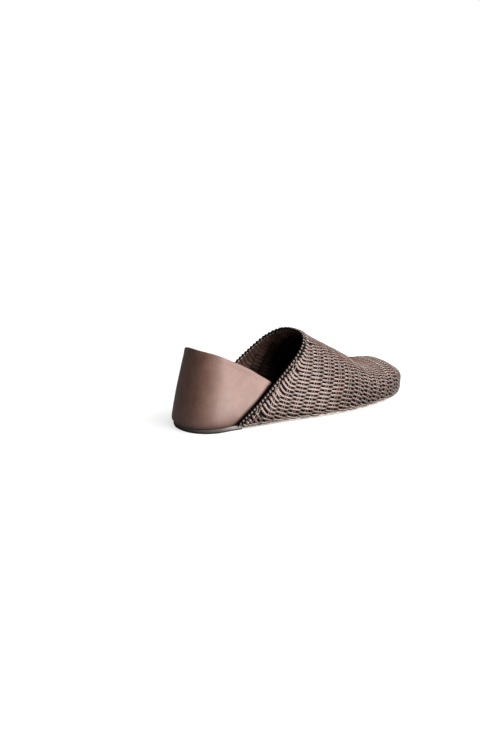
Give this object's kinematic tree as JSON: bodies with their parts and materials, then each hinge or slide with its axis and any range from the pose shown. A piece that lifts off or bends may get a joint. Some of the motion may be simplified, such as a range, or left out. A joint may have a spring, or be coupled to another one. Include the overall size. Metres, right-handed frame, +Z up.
{
  "type": "woven mule",
  "caption": "Right-foot slip-on mule with a woven leather-cord vamp, braided collar, tall soft leather heel counter and thin sole with a low heel lift",
  "frame": {"origin": "bottom centre of the shoe's box, on the floor", "axes": "+X to the toe, +Y to the inner side of the foot, +Z up"},
  "size_m": [0.254, 0.0934, 0.0765],
  "materials": {
    "cord": "dusty brown round leather cord, satin",
    "braid": "the same cord, twisted along the collar",
    "counter_leather": "smooth rose-brown leather with a soft sheen",
    "sole_leather": "pale natural leather, matte edge",
    "lift_rubber": "matte black rubber",
    "insole_leather": "dark matte leather"
  },
  "bodies": {
    "root": {"vamp": "cord", "collar_braid": "braid", "heel_counter": "counter_leather", "outsole": "sole_leather", "heel_lift": "lift_rubber", "insole": "insole_leather"}
  },
  "joints": []
}
